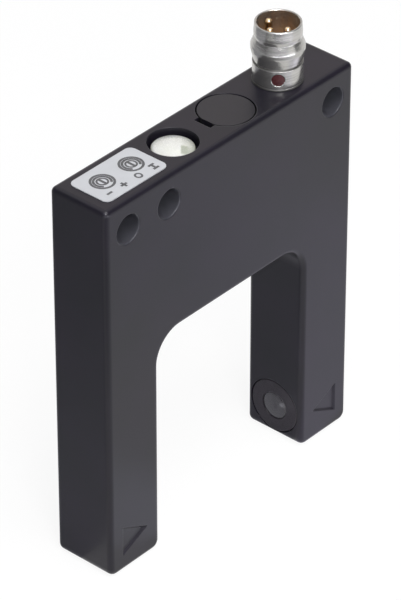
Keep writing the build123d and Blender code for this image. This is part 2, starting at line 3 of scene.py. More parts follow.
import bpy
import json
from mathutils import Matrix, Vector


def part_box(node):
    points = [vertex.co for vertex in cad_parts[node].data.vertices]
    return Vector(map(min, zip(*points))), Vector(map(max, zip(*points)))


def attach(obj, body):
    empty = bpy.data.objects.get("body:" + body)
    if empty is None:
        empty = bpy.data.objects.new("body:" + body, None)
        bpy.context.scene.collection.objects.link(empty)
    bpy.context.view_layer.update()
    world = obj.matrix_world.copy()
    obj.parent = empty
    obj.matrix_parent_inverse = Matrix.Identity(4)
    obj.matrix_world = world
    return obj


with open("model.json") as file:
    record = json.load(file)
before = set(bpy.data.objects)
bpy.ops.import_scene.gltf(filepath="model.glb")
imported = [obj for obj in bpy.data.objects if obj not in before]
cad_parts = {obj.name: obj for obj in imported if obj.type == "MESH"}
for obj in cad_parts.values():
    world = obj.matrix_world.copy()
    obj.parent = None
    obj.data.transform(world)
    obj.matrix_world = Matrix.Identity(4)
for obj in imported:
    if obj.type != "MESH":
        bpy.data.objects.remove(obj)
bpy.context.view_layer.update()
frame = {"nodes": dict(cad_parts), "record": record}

import json
import math

import bmesh
import bpy
from bpy.props import (
    FloatProperty,
    FloatVectorProperty,
    IntProperty,
    PointerProperty,
)
from mathutils import Matrix, Vector

bl_info = {
    "name": "Fork Sensor Looks",
    "version": (1, 0, 0),
    "blender": (4, 5, 0),
    "location": "3D View > Sidebar > Fork Sensor",
    "description": "Dresses the packed fork sensor with its finishes, label print and studio",
    "category": "Object",
}

MM = 0.001

# Most of a noise texture lies between these two values.
NOISE_LOW = 0.3
NOISE_HIGH = 0.7

# How far the roughness of a grained skin swings below and above its middle.
SMOOTHER = 0.04
DULLER = 0.05

# The colour sockets of a Mix node, whose names its number sockets have too.
MIX_FIRST = 6
MIX_SECOND = 7
MIX_RESULT = 2

# The cards that the sensor's gloss reflects: their cool white, and how they lie on the floor.
COOL_WHITE = (0.965, 0.975, 1.055)
CARD_LIFT = 0.3 * MM
CARD_STEPS = 72


def colour(name, description, default):
    return FloatVectorProperty(
        name=name,
        description=description,
        subtype="COLOR",
        size=3,
        min=0.0,
        max=1.0,
        default=default,
    )


def length(name, description, default_mm):
    return FloatProperty(
        name=name,
        description=description,
        subtype="DISTANCE",
        unit="LENGTH",
        min=0.0,
        precision=5,
        default=default_mm * MM,
    )


def factor(name, description, default, maximum=1.0):
    return FloatProperty(
        name=name,
        description=description,
        subtype="FACTOR",
        min=0.0,
        max=maximum,
        default=default,
    )


def wattage(name, description, default):
    return FloatProperty(
        name=name, description=description, unit="POWER", default=default
    )


def count(name, description, default):
    return IntProperty(name=name, description=description, min=12, default=default)


class HousingLooks(bpy.types.PropertyGroup):
    """Colours and grain of the anodised housing"""

    anodised: colour(
        "Anodised", "Dyed aluminium of the housing", (0.0108, 0.0100, 0.0152)
    )
    violet: colour(
        "Violet cast", "Where the dye took a little warmer", (0.0134, 0.0108, 0.0188)
    )
    rubbed: colour("Rubbed", "Where handling wore the dye", (0.09, 0.09, 0.095))
    # Paler colour on the walls of the cross holes: a painted sheen of light there, not the dye's
    # own colour.
    painted_bore_sheen: colour("Bored", "Bare-looking walls of the cross holes", (0.065, 0.065, 0.078))
    sheen: factor("Roughness", "Roughness of the anodised skin", 0.34)
    wear: factor("Wear", "How far the edges are rubbed", 0.08)
    grain: length("Grain", "Size of the blasted grain under the dye", 0.12)
    cloud: length("Cloud", "Size of the patches of warmer dye", 9.0)
    edge: length("Edge", "Reach of the rubbed edges", 0.25)
    edge_round: length("Edge round", "Rounding left on the machined edges", 0.18)


class LabelLooks(bpy.types.PropertyGroup):
    """Sizes and colours of the label and of its print"""

    foil: colour("Foil", "Pale label foil", (0.60, 0.61, 0.64))
    ink: colour("Ink", "Dark grey print", (0.075, 0.075, 0.08))
    ink_height: length("Ink height", "How thick the print is", 0.012)
    ink_bite: length("Ink bite", "How far the print lies in the foil", 0.003)
    dial_radius: length("Dial radius", "Outer radius of an adjuster symbol", 1.8)
    dial_line: length("Dial line", "Line width of an adjuster symbol", 0.36)
    dial_gap: length("Dial gap", "Clear line between the rings", 0.05)
    slot_width: length("Slot width", "Width of the driver slot in the symbol", 0.42)
    mark_height: length("Mark height", "Height of the signs beside the dials", 1.3)
    mark_line: length("Mark line", "Line width of the signs", 0.36)
    dial_steps: count("Dial steps", "Steps in a full ring of a symbol", 64)
    oval_steps: count("Oval steps", "Steps in the oval sign", 40)


class ConnectorLooks(bpy.types.PropertyGroup):
    """Colours of the plug connector, and heights over the housing on its shell"""

    nickel: colour("Nickel", "Plated shell", (0.535, 0.524, 0.500))
    # A warm metal tint inside the socket: partly the plating's own colour, partly a painted
    # reflection of the gold pins and brown insert.
    brass: colour("Brass", "Thinly plated brass inside the socket", (0.64, 0.58, 0.51))
    gold: colour("Gold", "Contact pins", (0.85, 0.64, 0.40))
    insert: colour("Insert", "Plastic that holds the pins", (0.19, 0.095, 0.030))
    enamel: colour("Enamel", "Dot that marks how the plug goes on", (0.090, 0.018, 0.02))
    line: length("Line", "Pitch of the turning marks", 0.20)
    edge_round: length("Edge round", "Rounding of the turned and plated edges", 0.16)
    # Share of the plate's colour kept at the foot and in the groove: painted shade there.
    painted_shade_share: factor("Patina", "Share of the shine left in the groove and at the foot", 0.2)
    # Inside this radius the wall takes the warm tint, which is partly a painted reflection.
    socket: length("Socket", "Radius inside which the shell looks like brass", 3.0)
    # Height of the foot, where the plate is painted darker (painted shade) and is rougher.
    foot: length("Foot", "Height of the dulled foot", 0.26)
    groove: length("Groove", "Height of the middle of the groove over the band", 3.14)
    ring: length("Ring", "Height of the middle of the snap ring", 5.28)
    ring_round: length("Ring round", "Rounding of the snap ring", 0.45)


class IndicatorLooks(bpy.types.PropertyGroup):
    """Colours of the light guide and its lamp"""

    milk: colour("Milk", "Milky plastic of the light guide", (0.84, 0.84, 0.80))
    # Painted shade: the colour the light guide turns to towards one side.
    shade: colour("Shade", "Where the lamp shows through", (0.50, 0.51, 0.44))
    patch: colour("Patch", "Where the square face of the lamp shows", (0.44, 0.46, 0.38))
    # A greyer edge: painted shade round the rounded edge of the light guide.
    rim: length("Rim", "Width of the greyer rim of the light guide", 0.45)
    lamp: colour("Lamp", "Clear resin of the lamp", (0.72, 0.66, 0.38))
    lamp_turn: FloatProperty(
        name="Lamp turn",
        description="How far the lamp and its shade are turned",
        subtype="ANGLE",
        unit="ROTATION",
        default=math.radians(48.6),
    )


class AdjusterLooks(bpy.types.PropertyGroup):
    """Colours of the adjuster cap and of the trimmers under it"""

    cap: colour("Cap", "Cap over the adjusters", (0.0100, 0.0092, 0.0140))
    # Width of the cap's edge that is painted darker (painted shade of the gap round it) and made
    # duller.
    painted_joint_shade: length("Joint", "Width of the dull edge of the cap", 0.07)
    body: colour("Trimmer body", "Moulded trimmer body", (0.70, 0.67, 0.60))
    rotor: colour("Rotor", "Slotted metal rotor", (0.66, 0.62, 0.54))


class OpticsLooks(bpy.types.PropertyGroup):
    """Colours of the two light windows in the fork"""

    lens: colour("Lens", "Dark polished window", (0.0275, 0.0240, 0.0310))
    bezel: colour("Bezel", "Black ring round the window", (0.0160, 0.0115, 0.0180))
    resin: colour("Resin", "Tinted diode resin", (0.06, 0.06, 0.12))
    holder: colour("Holder", "Diode holder", (0.030, 0.030, 0.032))


class InsideLooks(bpy.types.PropertyGroup):
    """Colours of the boards, seals and small parts inside"""

    laminate: colour("Laminate", "Coated circuit board", (0.018, 0.12, 0.06))
    copper: colour("Copper", "Tracks under the coating", (0.05, 0.22, 0.09))
    chip: colour("Chip", "Moulded chip body", (0.022, 0.022, 0.024))
    ceramic: colour("Ceramic", "Fired capacitor body", (0.40, 0.29, 0.19))
    zinc: colour("Zinc", "Plated screws", (0.56, 0.56, 0.55))
    rubber: colour("Rubber", "Seal rings", (0.017, 0.017, 0.018))
    bond: colour("Bond", "Cured bond under the cover", (0.035, 0.033, 0.030))


class StudioLooks(bpy.types.PropertyGroup):
    """The floor, the lamps and the camera"""

    paper: colour("Paper", "Pale floor", (0.80, 0.80, 0.80))
    room: colour("Room", "Light of the room", (0.96, 0.98, 1.0))
    room_level: factor("Room level", "How strongly the room lights the part", 0.26, 10.0)
    card: factor("Card", "Brightness of the grey cards at the back left", 0.40)
    gap_card: factor("Gap card", "Brightness of the floor card by the fork's gap", 0.55)
    flag: factor("Flag", "Brightness of the dark flags round the sensor", 0.06)
    softbox: factor("Softbox", "Brightness of the large softbox by the camera", 2.5, 10.0)
    screen: factor("Screen", "Brightness of the grey screen at the back", 0.75)
    key_power: wattage("Key lamp", "Power of the soft lamp beside the camera", 1.6)
    top_power: wattage("Top lamp", "Power of the soft lamp overhead", 2.2)
    rear_power: wattage("Rear lamp", "Power of the wide lamp at the back right", 0.2)
    camera_place: FloatVectorProperty(
        name="Camera",
        description="Where the camera stands",
        subtype="TRANSLATION",
        unit="LENGTH",
        default=(-0.36190, -0.31845, 0.36741),
    )
    camera_turn: FloatVectorProperty(
        name="Camera turn",
        description="Which way the camera looks",
        subtype="EULER",
        unit="ROTATION",
        default=(math.pi / 2 - 0.609, 0.0, -0.848),
    )
    focal_length: FloatProperty(
        name="Focal length",
        description="Focal length of the lens",
        unit="CAMERA",
        default=257.6,
    )


def feed(tree, slot, value):
    """Sets an input to a value, or links it to another node's output."""
    if isinstance(value, bpy.types.NodeSocket):
        tree.links.new(value, slot)
    elif slot.type == "RGBA":
        slot.default_value = (*value, 1.0)
    else:
        slot.default_value = value


def feed_by_name(tree, made, **sockets):
    """Feeds a node's inputs by their names, with _ for each space."""
    for name, value in sockets.items():
        feed(tree, made.inputs[name.replace("_", " ")], value)


def node(tree, kind, **sockets):
    """A new node, with its inputs fed by name."""
    made = tree.nodes.new(kind)
    feed_by_name(tree, made, **sockets)
    return made


def maths(tree, operation, first, second=0.5):
    """A Math node on two numbers or sockets."""
    made = tree.nodes.new("ShaderNodeMath")
    made.operation = operation
    feed(tree, made.inputs[0], first)
    feed(tree, made.inputs[1], second)
    return made.outputs[0]


def ramp(tree, source, low, high, to_low=0.0, to_high=1.0):
    """Maps a value from one range to another and keeps it there."""
    made = node(
        tree,
        "ShaderNodeMapRange",
        Value=source,
        From_Min=low,
        From_Max=high,
        To_Min=to_low,
        To_Max=to_high,
    )
    return made.outputs["Result"]


def band(tree, source, start, full, fade, end):
    """1 from full to fade, falling to 0 at start and at end."""
    rising = ramp(tree, source, start, full)
    falling = ramp(tree, source, end, fade)
    return maths(tree, "MULTIPLY", rising, falling)


def uneven(tree, height, low, high):
    """A roughness that follows a fine noise from one value to another."""
    return ramp(tree, height, NOISE_LOW, NOISE_HIGH, low, high)


def grained(tree, height, middle):
    """The roughness of a grained skin, round its middle value."""
    return uneven(tree, height, middle - SMOOTHER, middle + DULLER)


def off_level(tree, value, level):
    """How far a value is from a level, on either side."""
    return maths(tree, "ABSOLUTE", maths(tree, "SUBTRACT", value, level))


def axes_of(tree, vector):
    """The X, Y and Z of a vector."""
    return node(tree, "ShaderNodeSeparateXYZ", Vector=vector).outputs


def off_axis(tree, first, second):
    """The distance from an axis, from the two coordinates across it."""
    squares = [maths(tree, "MULTIPLY", way, way) for way in (first, second)]
    return maths(tree, "SQRT", maths(tree, "ADD", *squares))


def blend_colours(tree, mask, first, second):
    """Mixes two colours, each a value or a socket, by a mask."""
    made = node(tree, "ShaderNodeMix", Factor=mask)
    made.data_type = "RGBA"
    feed(tree, made.inputs[MIX_FIRST], first)
    feed(tree, made.inputs[MIX_SECOND], second)
    return made.outputs[MIX_RESULT]


def toned(shade, share):
    """The same hue, darker or lighter."""
    return tuple(c * share for c in shade)


def shader_group(name, inputs, outputs):
    """An empty node group with named sockets, and its two end nodes."""
    tree = bpy.data.node_groups.new(name, "ShaderNodeTree")
    kinds = {
        "vector": "NodeSocketVector",
        "value": "NodeSocketFloat",
    }
    for label, kind, default in inputs:
        made = tree.interface.new_socket(
            name=label, in_out="INPUT", socket_type=kinds[kind]
        )
        if default is not None:
            made.default_value = default
    for label, kind in outputs:
        tree.interface.new_socket(
            name=label, in_out="OUTPUT", socket_type=kinds[kind]
        )
    return (
        tree,
        tree.nodes.new("NodeGroupInput").outputs,
        tree.nodes.new("NodeGroupOutput").inputs,
    )


def noise(tree, vector, size, **sockets):
    """A noise texture whose patches have about a size, in metres."""
    scale = maths(tree, "DIVIDE", 1.0, size)
    made = node(tree, "ShaderNodeTexNoise", Vector=vector, Scale=scale, **sockets)
    return made.outputs["Fac"]


def grain_group():
    """Fine grain of a blasted or moulded skin, with a slow cloud under it."""
    tree, given, out = shader_group(
        "Grain",
        [
            ("Vector", "vector", None),
            ("Size", "value", 0.1 * MM),
            ("Cloud size", "value", 8.0 * MM),
        ],
        [("Height", "value"), ("Cloud", "value")],
    )
    place = given["Vector"]
    fine = noise(tree, place, given["Size"], Detail=3.0, Roughness=0.6)
    slow = noise(tree, place, given["Cloud size"], Detail=2.0, Roughness=0.5)
    feed(tree, out["Height"], fine)
    feed(tree, out["Cloud"], ramp(tree, slow, 0.35, 0.65))
    return tree


def edge_group():
    """A mask that is 1 on outward edges, where handling rubs a finish."""
    tree, given, out = shader_group(
        "Rubbed edges",
        [("Vector", "vector", None), ("Reach", "value", 0.2 * MM)],
        [("Mask", "value")],
    )
    soft = node(tree, "ShaderNodeBevel", Radius=given["Reach"])
    soft.samples = 4
    true = tree.nodes.new("ShaderNodeNewGeometry")
    dot = tree.nodes.new("ShaderNodeVectorMath")
    dot.operation = "DOT_PRODUCT"
    feed(tree, dot.inputs[0], soft.outputs["Normal"])
    feed(tree, dot.inputs[1], true.outputs["Normal"])
    # Cosines of the turn between the rounded and the true normal.
    unworn = 0.995
    bare = 0.90
    turned = ramp(tree, dot.outputs["Value"], unworn, bare)
    patches_per_metre = 1800.0
    broken = node(
        tree,
        "ShaderNodeTexNoise",
        Vector=given["Vector"],
        Scale=patches_per_metre,
        Detail=3.0,
    )
    patches = ramp(tree, broken.outputs["Fac"], 0.42, 0.6)
    feed(tree, out["Mask"], maths(tree, "MULTIPLY", turned, patches))
    return tree


def turning_group():
    """Fine rings that a lathe leaves, round the Z axis of the vector given."""
    tree, given, out = shader_group(
        "Turning marks",
        [("Vector", "vector", None), ("Pitch", "value", 0.1 * MM)],
        [("Height", "value"), ("Streak", "value")],
    )
    x, y, z = axes_of(tree, given["Vector"])
    profile = node(tree, "ShaderNodeCombineXYZ", X=off_axis(tree, x, y), Z=z)
    rings = noise(tree, profile.outputs[0], given["Pitch"], Detail=4.0, Roughness=0.7)
    feed(tree, out["Height"], rings)
    feed(tree, out["Streak"], ramp(tree, rings, NOISE_LOW, NOISE_HIGH))
    return tree


GROUPS = {
    "Grain": grain_group,
    "Rubbed edges": edge_group,
    "Turning marks": turning_group,
}


def place_group(tree, name, vector, **values):
    """Puts a shared group in a material; the first that asks for one has it built."""
    made = tree.nodes.new("ShaderNodeGroup")
    made.node_tree = bpy.data.node_groups.get(name) or GROUPS[name]()
    feed_by_name(tree, made, Vector=vector, **values)
    return made.outputs


def start_nodes(owner):
    """The emptied node tree of a new material or world."""
    owner.use_nodes = True
    owner.node_tree.nodes.clear()
    return owner.node_tree


def start_material(name, **sockets):
    """A material with its shader, and the Object coordinates to build on."""
    material = bpy.data.materials.new(name)
    tree = start_nodes(material)
    surface = node(tree, "ShaderNodeBsdfPrincipled", **sockets)
    node(tree, "ShaderNodeOutputMaterial", Surface=surface.outputs[0])
    place = tree.nodes.new("ShaderNodeTexCoord").outputs["Object"]
    return material, tree, surface, place


def centred(tree, place, x=0.0, y=0.0, z=0.0):
    """The same coordinates, measured from a point on the piece."""
    made = node(tree, "ShaderNodeMapping", Vector=place, Location=(-x, -y, -z))
    return made.outputs[0]


def bump(tree, surface, height, depth, rounding=None):
    """Raises the surface by a height texture, and rounds its edges."""
    made = node(tree, "ShaderNodeBump", Height=height, Strength=1.0, Distance=depth)
    if rounding is not None:
        soft = node(tree, "ShaderNodeBevel", Radius=rounding)
        soft.samples = 8
        feed(tree, made.inputs["Normal"], soft.outputs[0])
    feed(tree, surface.inputs["Normal"], made.outputs[0])


def moulded_finish(name, base, tone, roughness, grain, cloud, rounding=None, **sockets):
    """A moulded or coated skin: two tones in slow clouds, and a fine grain.

    The second tone is a share of the first.
    """
    material, tree, surface, place = start_material(name, **sockets)
    skin = place_group(tree, "Grain", place, Size=grain, Cloud_size=cloud)
    feed_by_name(
        tree,
        surface,
        Base_Color=blend_colours(tree, skin["Cloud"], base, toned(base, tone)),
        Roughness=grained(tree, skin["Height"], roughness),
    )
    bump(tree, surface, skin["Height"], 0.004 * MM, rounding)
    return material


def turned_finish(name, base, roughness, pitch, x=0.0, y=0.0, depth=0.0015 * MM):
    """A turned metal, with the rings of the lathe round an upright axis."""
    material, tree, surface, place = start_material(name, Metallic=1.0)
    middle = centred(tree, place, x, y)
    marks = place_group(tree, "Turning marks", middle, Pitch=pitch)
    dark_rings = toned(base, 0.86)
    feed_by_name(
        tree,
        surface,
        Base_Color=blend_colours(tree, marks["Streak"], dark_rings, base),
        Roughness=uneven(tree, marks["Height"], roughness * 0.8, roughness * 1.25),
    )
    bump(tree, surface, marks["Height"], depth)
    return material


def dress(material, *names):
    """Gives CAD nodes a finish."""
    for name in names:
        slots = frame["nodes"][name].material_slots
        if not slots:
            raise RuntimeError(f"{name} has no material slot")
        for slot in slots:
            slot.material = material


def object_of(name, bm, material):
    """Turns a bmesh into an object with a finish."""
    mesh = bpy.data.meshes.new(name)
    bm.to_mesh(mesh)
    bm.free()
    mesh.materials.append(material)
    made = bpy.data.objects.new(name, mesh)
    bpy.context.scene.collection.objects.link(made)
    return made


def finished_piece(name, bm, material, body):
    """Turns a bmesh into a piece that rides on a body."""
    bmesh.ops.recalc_face_normals(bm, faces=bm.faces)
    piece = object_of(name, bm, material)
    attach(piece, body)


def middle_of(name):
    low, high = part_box(name)
    return (low + high) / 2


def half_width(name):
    low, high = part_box(name)
    return (high.x - low.x) / 2


def cross_holes():
    """The middle and radius of each cross hole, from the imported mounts."""
    holes = {}
    for mount in frame["record"]["mounts"]:
        if mount["kind"] == "bolt_pattern":
            middle = Vector(mount["pos_m"])
            reach = mount["dims"]["spacing_x_mm"] * MM / 2
            for side in (-1, 1):
                place = middle + Vector((side * reach, 0, 0))
                # Two patterns share a hole, which is kept once.
                tenth_of_mm = round(place.x, 4)
                holes[tenth_of_mm] = (place, mount["dims"]["hole_r_mm"] * MM)
    return holes.values()


def bore_sheen_mask(tree, place):
    """1 on the walls of the cross holes, where the paler painted sheen goes, and 0 on the skin
    round them.
    """
    on_wall = 0.04 * MM
    on_skin = 0.12 * MM
    mask = None
    for middle, radius in cross_holes():
        x, _, z = axes_of(tree, centred(tree, place, middle.x, 0.0, middle.z))
        away = off_axis(tree, x, z)
        wall = ramp(tree, away, radius + on_skin, radius + on_wall)
        mask = wall if mask is None else maths(tree, "MAXIMUM", mask, wall)
    return mask


def anodised_finish(looks):
    """Blasted and dyed aluminium, worn at its edges, with a paler painted sheen on the walls of the
    cross holes.
    """
    material, tree, surface, place = start_material(
        "Anodised black", Specular_IOR_Level=0.32
    )
    skin = place_group(tree, "Grain", place, Size=looks.grain, Cloud_size=looks.cloud)
    dye = blend_colours(tree, skin["Cloud"], looks.anodised, looks.violet)
    edges = place_group(tree, "Rubbed edges", place, Reach=looks.edge)
    rubbed = maths(tree, "MULTIPLY", edges["Mask"], looks.wear)
    worn = blend_colours(tree, rubbed, dye, looks.rubbed)
    feed_by_name(
        tree,
        surface,
        # The walls of the cross holes get a paler colour: a painted sheen.
        Base_Color=blend_colours(tree, bore_sheen_mask(tree, place), worn, looks.painted_bore_sheen),
        Roughness=grained(tree, skin["Height"], looks.sheen),
    )
    bump(tree, surface, skin["Height"], 0.002 * MM, looks.edge_round)
    return material


class FORKSENSOR_OT_housing(bpy.types.Operator):
    """Finish the anodised housing, its rear cover and the bond between them"""

    bl_idname = "forksensor.housing"
    bl_label = "Housing"

    def execute(self, context):
        anodised = anodised_finish(context.scene.fork_sensor_housing)
        dress(anodised, "housing", "rear_cover")
        bond = moulded_finish(
            "Cured bond",
            context.scene.fork_sensor_inside.bond,
            tone=0.7,
            roughness=0.5,
            grain=0.3 * MM,
            cloud=2.0 * MM,
        )
        dress(bond, "cover_bond")
        return {"FINISHED"}


def ring_band(bm, centre, inner, outer, steps, start=0, sweep=360):
    """A flat band, swept round a centre from a start angle, in degrees."""
    turn = Matrix.Rotation(math.radians(start), 3, "Z")
    ends = [bm.verts.new(centre + turn @ Vector((r, 0, 0))) for r in (inner, outer)]
    edge = bm.edges.new(ends)
    full = sweep >= 360
    bmesh.ops.spin(
        bm,
        geom=[*ends, edge],
        cent=centre,
        axis=(0, 0, 1),
        angle=math.radians(sweep),
        steps=max(3, round(steps * sweep / 360)),
        use_merge=full,
        use_duplicate=False,
    )


def bar(bm, centre, across, along):
    """A flat bar round a centre, across in X and along in Y."""
    bmesh.ops.create_grid(
        bm,
        x_segments=1,
        y_segments=1,
        size=0.5,
        matrix=Matrix.Translation(centre)
        @ Matrix.Diagonal((across, along, 1.0, 1.0)),
    )


def raise_ink(bm, height):
    """Gives the flat print its thickness, upwards from the label."""
    bmesh.ops.recalc_face_normals(bm, faces=bm.faces)
    flat = list(bm.faces)
    raised = bmesh.ops.extrude_face_region(bm, geom=flat, use_keep_orig=True)
    upper = [v for v in raised["geom"] if isinstance(v, bmesh.types.BMVert)]
    bmesh.ops.translate(bm, verts=upper, vec=(0, 0, height))


def adjuster_symbol(looks, centre):
    """The symbol of a turning adjuster: rings, a screw head and its slot."""
    bm = bmesh.new()
    line = looks.dial_line
    outer = looks.dial_radius
    second = outer - line - looks.dial_gap
    head = second - line - 2.4 * looks.dial_gap
    head_bore = head - 0.8 * line
    slot = 2 * head_bore - 0.02 * MM
    around = looks.dial_steps
    ring_band(bm, centre, outer - line, outer, around)
    ring_band(bm, centre, second - line, second, around, start=-52, sweep=284)
    ring_band(bm, centre, head_bore, head, around)
    bar(bm, centre, looks.slot_width, slot)
    return bm


def minus_sign(looks, centre):
    bm = bmesh.new()
    bar(bm, centre, looks.mark_height * 0.75, looks.mark_line)
    return bm


def plus_sign(looks, centre):
    bm = bmesh.new()
    arm = looks.mark_height * 0.85
    line = looks.mark_line
    stub = (arm - line) / 2
    bar(bm, centre, arm, line)
    for side in (-1, 1):
        shift = Vector((0, side * (line + stub) / 2, 0))
        bar(bm, centre + shift, line, stub)
    return bm


def closed_sign(looks, centre):
    """The upright stroke with feet that marks the closed position."""
    bm = bmesh.new()
    tall = looks.mark_height
    line = looks.mark_line
    foot = line * 2.9
    bar(bm, centre, line, tall - 2 * line)
    for side in (-1, 1):
        bar(bm, centre + Vector((0, side * (tall - line) / 2, 0)), foot, line)
    return bm


def open_sign(looks, centre):
    """The oval that marks the open position."""
    bm = bmesh.new()
    outer = looks.mark_height / 2
    line = 0.85 * looks.mark_line
    ring_band(bm, Vector(), outer - line, outer, looks.oval_steps)
    bmesh.ops.scale(bm, verts=bm.verts, vec=(0.9, 1.0, 1.0))
    bmesh.ops.translate(bm, verts=bm.verts, vec=centre)
    return bm


class FORKSENSOR_OT_label(bpy.types.Operator):
    """Finish the label foil and lay its print on it"""

    bl_idname = "forksensor.label"
    bl_label = "Label and print"

    def execute(self, context):
        looks = context.scene.fork_sensor_label
        foil = moulded_finish(
            "Label foil",
            looks.foil,
            tone=0.95,
            roughness=0.42,
            grain=0.2 * MM,
            cloud=3.0 * MM,
        )
        dress(foil, "label")
        ink = moulded_finish(
            "Label ink",
            looks.ink,
            tone=1.5,
            roughness=0.5,
            grain=0.15 * MM,
            cloud=0.5 * MM,
        )
        middle = middle_of("label")
        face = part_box("label")[1].z

        def spot(x, y):
            """A place in the foil, in mm from its middle."""
            return Vector((middle.x + x * MM, middle.y + y * MM, face - looks.ink_bite))

        row = -2.13  # of the signs
        printed = {
            "print_dial_1": adjuster_symbol(looks, spot(-2.7, 0.43)),
            "print_dial_2": adjuster_symbol(looks, spot(2.9, 0.45)),
            "print_minus": minus_sign(looks, spot(-4.09, row)),
            "print_plus": plus_sign(looks, spot(-1.34, row)),
            "print_open": open_sign(looks, spot(1.5, row)),
            "print_closed": closed_sign(looks, spot(4.43, row)),
        }
        for name, bm in printed.items():
            raise_ink(bm, looks.ink_height)
            finished_piece(name, bm, ink, "sensor")
        return {"FINISHED"}


def nickel_finish(looks):
    """Turned and plated shell with painted shade (a darker, duller plate) at its foot and in its
    groove, and a warm metal tint inside that is partly a painted reflection.
    """
    axis = middle_of("connector_shell")
    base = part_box("housing")[1].z
    blur = 0.03 * MM
    groove_bed = 0.10 * MM
    groove_wall = 0.14 * MM
    groove_shade_and_dullness = 0.72
    dull_roughness = 0.25
    plate_metallic = 0.86
    brass_metallic = 0.92
    ring_half = 0.5 * MM
    past_ring = 0.9 * MM
    material, tree, surface, place = start_material("Nickel plate")
    middle = centred(tree, place, axis.x, axis.y, base)
    x, y, height = axes_of(tree, middle)
    marks = place_group(tree, "Turning marks", middle, Pitch=looks.line)
    streaks = toned(looks.nickel, 0.74), toned(looks.nickel, 1.08)
    plate = blend_colours(tree, marks["Streak"], *streaks)
    # Inside the socket the wall takes the warm tint, partly a painted reflection of the pins and
    # insert.
    inner = ramp(tree, off_axis(tree, x, y), looks.socket, looks.socket - blur)
    turned = blend_colours(tree, inner, plate, looks.brass)
    # Painted shade: the foot and the groove get a darker colour, and a rougher plate.
    foot = ramp(tree, height, looks.foot + blur, looks.foot - blur)
    from_groove = off_level(tree, height, looks.groove)
    groove = ramp(tree, from_groove, groove_wall, groove_bed, 0.0, groove_shade_and_dullness)
    shaded_and_dulled = maths(tree, "MAXIMUM", foot, groove)
    duller = maths(tree, "MULTIPLY", shaded_and_dulled, dull_roughness)
    shine = uneven(tree, marks["Height"], 0.19, 0.27)
    shaded_nickel = toned(looks.nickel, looks.painted_shade_share)
    feed_by_name(
        tree,
        surface,
        Base_Color=blend_colours(tree, shaded_and_dulled, turned, shaded_nickel),
        Roughness=maths(tree, "ADD", shine, duller),
        Metallic=ramp(tree, inner, 0.0, 1.0, plate_metallic, brass_metallic),
    )
    from_ring = off_level(tree, height, looks.ring)
    rounding = ramp(
        tree, from_ring, ring_half, past_ring, looks.ring_round, looks.edge_round
    )
    bump(tree, surface, marks["Height"], 0.003 * MM, rounding)
    return material


class FORKSENSOR_OT_connector(bpy.types.Operator):
    """Finish the plug connector: shell, pins, insert and dot"""

    bl_idname = "forksensor.connector"
    bl_label = "Plug connector"

    def execute(self, context):
        looks = context.scene.fork_sensor_connector
        dress(nickel_finish(looks), "connector_shell")
        gold = turned_finish(
            "Gold contact",
            looks.gold,
            roughness=0.16,
            pitch=0.05 * MM,
            depth=0.0006 * MM,
        )
        dress(gold, "contact_pin_1", "contact_pin_3", "contact_pin_4")
        insert = moulded_finish(
            "Insert plastic",
            looks.insert,
            tone=1.4,
            roughness=0.38,
            grain=0.08 * MM,
            cloud=1.5 * MM,
        )
        dress(insert, "connector_insert")
        enamel = moulded_finish(
            "Dot enamel",
            looks.enamel,
            tone=0.7,
            roughness=0.24,
            grain=0.15 * MM,
            cloud=0.8 * MM,
            Coat_Weight=0.5,
            Coat_Roughness=0.1,
        )
        dress(enamel, "orientation_dot")
        return {"FINISHED"}


def milky_finish(looks):
    """Milky plastic, darker with painted shade on the side towards the lamp below it, greyer with
    painted shade round its edge, and the square face of the lamp showing through.
    """
    middle = middle_of("indicator_dome")
    edge = half_width("indicator_dome")
    material, tree, surface, place = start_material(
        "Milky light guide",
        Subsurface_Weight=0.35,
        Subsurface_Radius=(1.0, 1.0, 0.8),
        Subsurface_Scale=0.4 * MM,
        Coat_Weight=0.6,
        Coat_Roughness=0.06,
    )
    skin = place_group(tree, "Grain", place, Size=0.2 * MM, Cloud_size=1.6 * MM)
    milk = blend_colours(tree, skin["Cloud"], looks.milk, toned(looks.milk, 0.95))
    turned = node(
        tree,
        "ShaderNodeMapping",
        Vector=centred(tree, place, middle.x, middle.y),
        Rotation=(0.0, 0.0, looks.lamp_turn),
    )
    across, away, _ = axes_of(tree, turned.outputs[0])
    # Painted shade: the light guide turns darker towards one side.
    shade_start = 0.9 * MM
    shade_end = 2.8 * MM
    side = ramp(tree, across, shade_start, shade_end)
    shaded = blend_colours(tree, side, milk, looks.shade)
    # Where the lamp's square face starts, is full, fades and ends, both ways.
    face_across = (0.95 * MM, 1.15 * MM, 1.8 * MM, 2.7 * MM)
    face_away = (-2.2 * MM, -1.8 * MM, -0.7 * MM, -0.3 * MM)
    patch = maths(
        tree,
        "MULTIPLY",
        band(tree, across, *face_across),
        band(tree, away, *face_away),
    )
    patched = blend_colours(tree, patch, shaded, looks.patch)
    radius = off_axis(tree, across, away)
    # Painted shade: the light guide turns greyer towards its edge.
    rim_shade_share = 0.6
    rim = ramp(tree, radius, edge - looks.rim, edge, 0.0, rim_shade_share)
    feed_by_name(
        tree,
        surface,
        Base_Color=blend_colours(tree, rim, patched, toned(looks.shade, 0.8)),
        Roughness=uneven(tree, skin["Height"], 0.2, 0.32),
    )
    bump(tree, surface, skin["Height"], 0.002 * MM)
    return material


